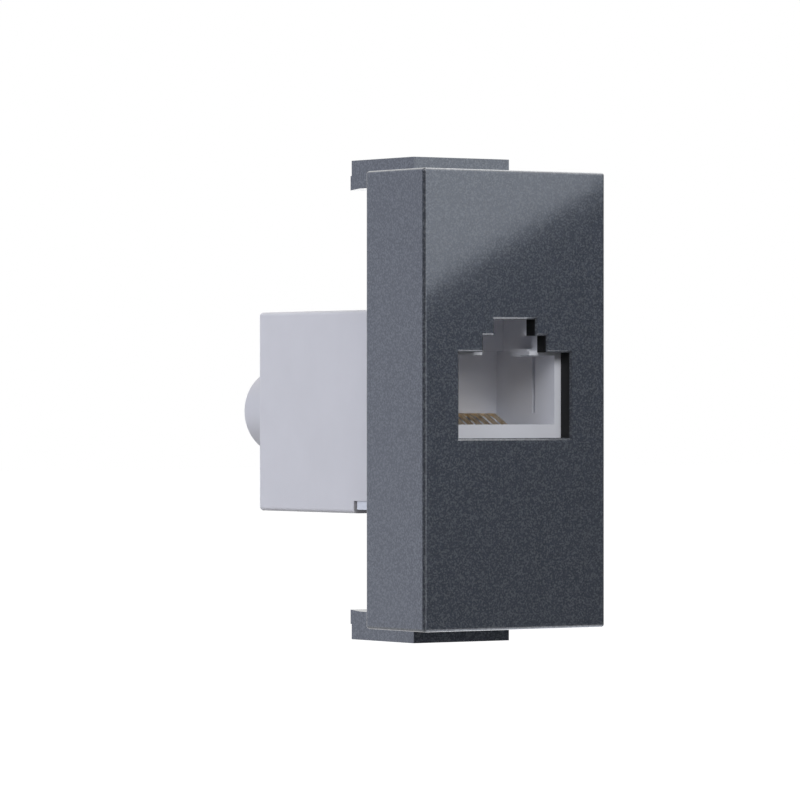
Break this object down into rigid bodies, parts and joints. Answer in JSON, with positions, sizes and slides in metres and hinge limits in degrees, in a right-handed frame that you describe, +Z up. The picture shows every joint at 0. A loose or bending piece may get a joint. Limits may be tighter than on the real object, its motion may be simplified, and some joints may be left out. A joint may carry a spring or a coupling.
{
  "type": "ethernet wall socket",
  "caption": "Narrow network wall socket for a modular mounting frame: dark face block with a stepped port, clip arms and a light rear cover with a round cable collar.",
  "frame": {"origin": "middle of the front face of the face block", "axes": "+Z up as mounted, along the long side of the face; +Y away from the viewer, towards the wall box; +X to the right seen from the front"},
  "size_m": [0.0218, 0.0425, 0.048],
  "materials": {
    "face_lacquer": "gloss metallic grey lacquer on moulded plastic",
    "jack_plastic": "light grey moulded, glossy",
    "cover_plastic": "light grey moulded, satin",
    "carrier_plastic": "light grey moulded, satin",
    "gold_plate": "gold plated spring wire",
    "tinned_bronze": "bright tin plate on stamped bronze",
    "board_laminate": "green solder mask on glass laminate"
  },
  "bodies": {
    "socket": {"face_shell": "face_lacquer", "jack_housing": "jack_plastic", "contact_carrier": "carrier_plastic", "circuit_board": "board_laminate", "idc_block": "carrier_plastic", "contact_1": "gold_plate", "contact_2": "gold_plate", "contact_3": "gold_plate", "contact_4": "gold_plate", "contact_5": "gold_plate", "contact_6": "gold_plate", "contact_7": "gold_plate", "contact_8": "gold_plate", "idc_contact_1": "tinned_bronze", "idc_contact_2": "tinned_bronze", "idc_contact_3": "tinned_bronze", "idc_contact_4": "tinned_bronze", "idc_contact_5": "tinned_bronze", "idc_contact_6": "tinned_bronze", "idc_contact_7": "tinned_bronze", "idc_contact_8": "tinned_bronze"},
    "cover": {"rear_cover": "cover_plastic", "wire_manager": "carrier_plastic"}
  },
  "joints": [
    {"name": "cover_slide", "type": "slide", "parent": "socket", "child": "cover", "axis": [0, 1, 0], "range_m": [0, 0.025]}
  ]
}
